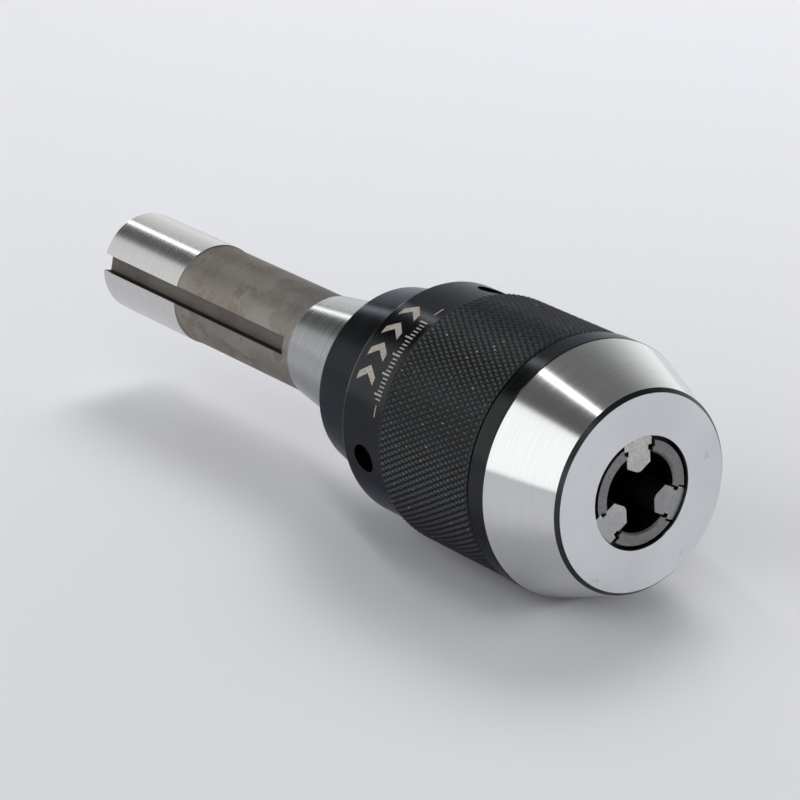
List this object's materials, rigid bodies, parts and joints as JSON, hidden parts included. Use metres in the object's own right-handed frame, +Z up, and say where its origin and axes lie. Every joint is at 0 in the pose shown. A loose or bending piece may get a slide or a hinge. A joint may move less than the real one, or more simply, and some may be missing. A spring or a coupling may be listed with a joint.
{
  "type": "drill chuck",
  "caption": "Keyless self-tightening drill chuck with an R8 shank, knurled sleeve, conical nose and jaws that close as the hood is turned.",
  "frame": {"origin": "on the axis at the big end of the R8 taper, where the rear collar begins", "axes": "+Y along the axis towards the shank's rear end, nose facing -Y, +Z up with the chuck lying on its side"},
  "size_m": [0.057, 0.187, 0.057],
  "materials": {
    "ground_steel": "ground bright on land and taper, dull brown-grey between",
    "black_oxide": "satin black oxide",
    "nose_steel": "turned and ground round the axis",
    "guide_steel": "ground face, grey bore",
    "jaw_steel": "hardened and ground",
    "bearing_steel": "polished hardened steel",
    "machined_steel": "turned, oiled",
    "cage_brass": "turned brass",
    "washer_brass": "bronze, plain",
    "seal_rubber": "black nitrile rubber"
  },
  "bodies": {
    "shank": {"shank_body": "ground_steel", "rear_collar": "black_oxide", "seal_ring": "seal_rubber", "fixed_race": "bearing_steel"},
    "bearing_cage": {"ball_cage": "cage_brass", "bearing_ball_01": "bearing_steel", "bearing_ball_02": "bearing_steel", "bearing_ball_03": "bearing_steel", "bearing_ball_04": "bearing_steel", "bearing_ball_05": "bearing_steel", "bearing_ball_06": "bearing_steel", "bearing_ball_07": "bearing_steel", "bearing_ball_08": "bearing_steel", "bearing_ball_09": "bearing_steel", "bearing_ball_10": "bearing_steel", "bearing_ball_11": "bearing_steel", "bearing_ball_12": "bearing_steel", "bearing_ball_13": "bearing_steel", "bearing_ball_14": "bearing_steel", "bearing_ball_15": "bearing_steel", "bearing_ball_16": "bearing_steel", "bearing_ball_17": "bearing_steel", "bearing_ball_18": "bearing_steel", "bearing_ball_19": "bearing_steel", "bearing_ball_20": "bearing_steel"},
    "hood": {"knurled_sleeve": "black_oxide", "nose_hood": "nose_steel", "jaw_guide": "guide_steel", "spanner_ring": "black_oxide", "moving_race": "bearing_steel", "thrust_washer": "washer_brass"},
    "screw": {"drive_screw": "machined_steel"},
    "jaw_1": {"jaw_1": "jaw_steel"},
    "jaw_2": {"jaw_2": "jaw_steel"},
    "jaw_3": {"jaw_3": "jaw_steel"}
  },
  "joints": [
    {"name": "hood_turn", "type": "hinge", "parent": "shank", "child": "hood", "pos_m": [0, 0, 0], "axis": [0, 1, 0], "range_deg": [-1120, 1415]},
    {"name": "cage_turn", "type": "hinge", "parent": "shank", "child": "bearing_cage", "pos_m": [0, 0, 0], "axis": [0, 1, 0], "range_deg": [-561, 708.5]},
    {"name": "screw_feed", "type": "slide", "parent": "hood", "child": "screw", "axis": [0, -1, 0], "range_m": [-0.00934, 0.0118]},
    {"name": "jaw_slide_1", "type": "slide", "parent": "hood", "child": "jaw_1", "axis": [0.0239, -0.9397, -0.3412], "range_m": [-0.00994, 0.01255]},
    {"name": "jaw_slide_2", "type": "slide", "parent": "hood", "child": "jaw_2", "axis": [0.2835, -0.9397, 0.1913], "range_m": [-0.00994, 0.01255]},
    {"name": "jaw_slide_3", "type": "slide", "parent": "hood", "child": "jaw_3", "axis": [-0.3074, -0.9397, 0.1499], "range_m": [-0.00994, 0.01255]}
  ],
  "couplings": [
    {"joint": "cage_turn", "follows": "hood_turn", "ratio": 0.5},
    {"joint": "screw_feed", "follows": "hood_turn", "m_per_rad": 0.00047746},
    {"joint": "jaw_slide_1", "follows": "hood_turn", "m_per_rad": 0.00050811},
    {"joint": "jaw_slide_2", "follows": "hood_turn", "m_per_rad": 0.00050811},
    {"joint": "jaw_slide_3", "follows": "hood_turn", "m_per_rad": 0.00050811}
  ]
}
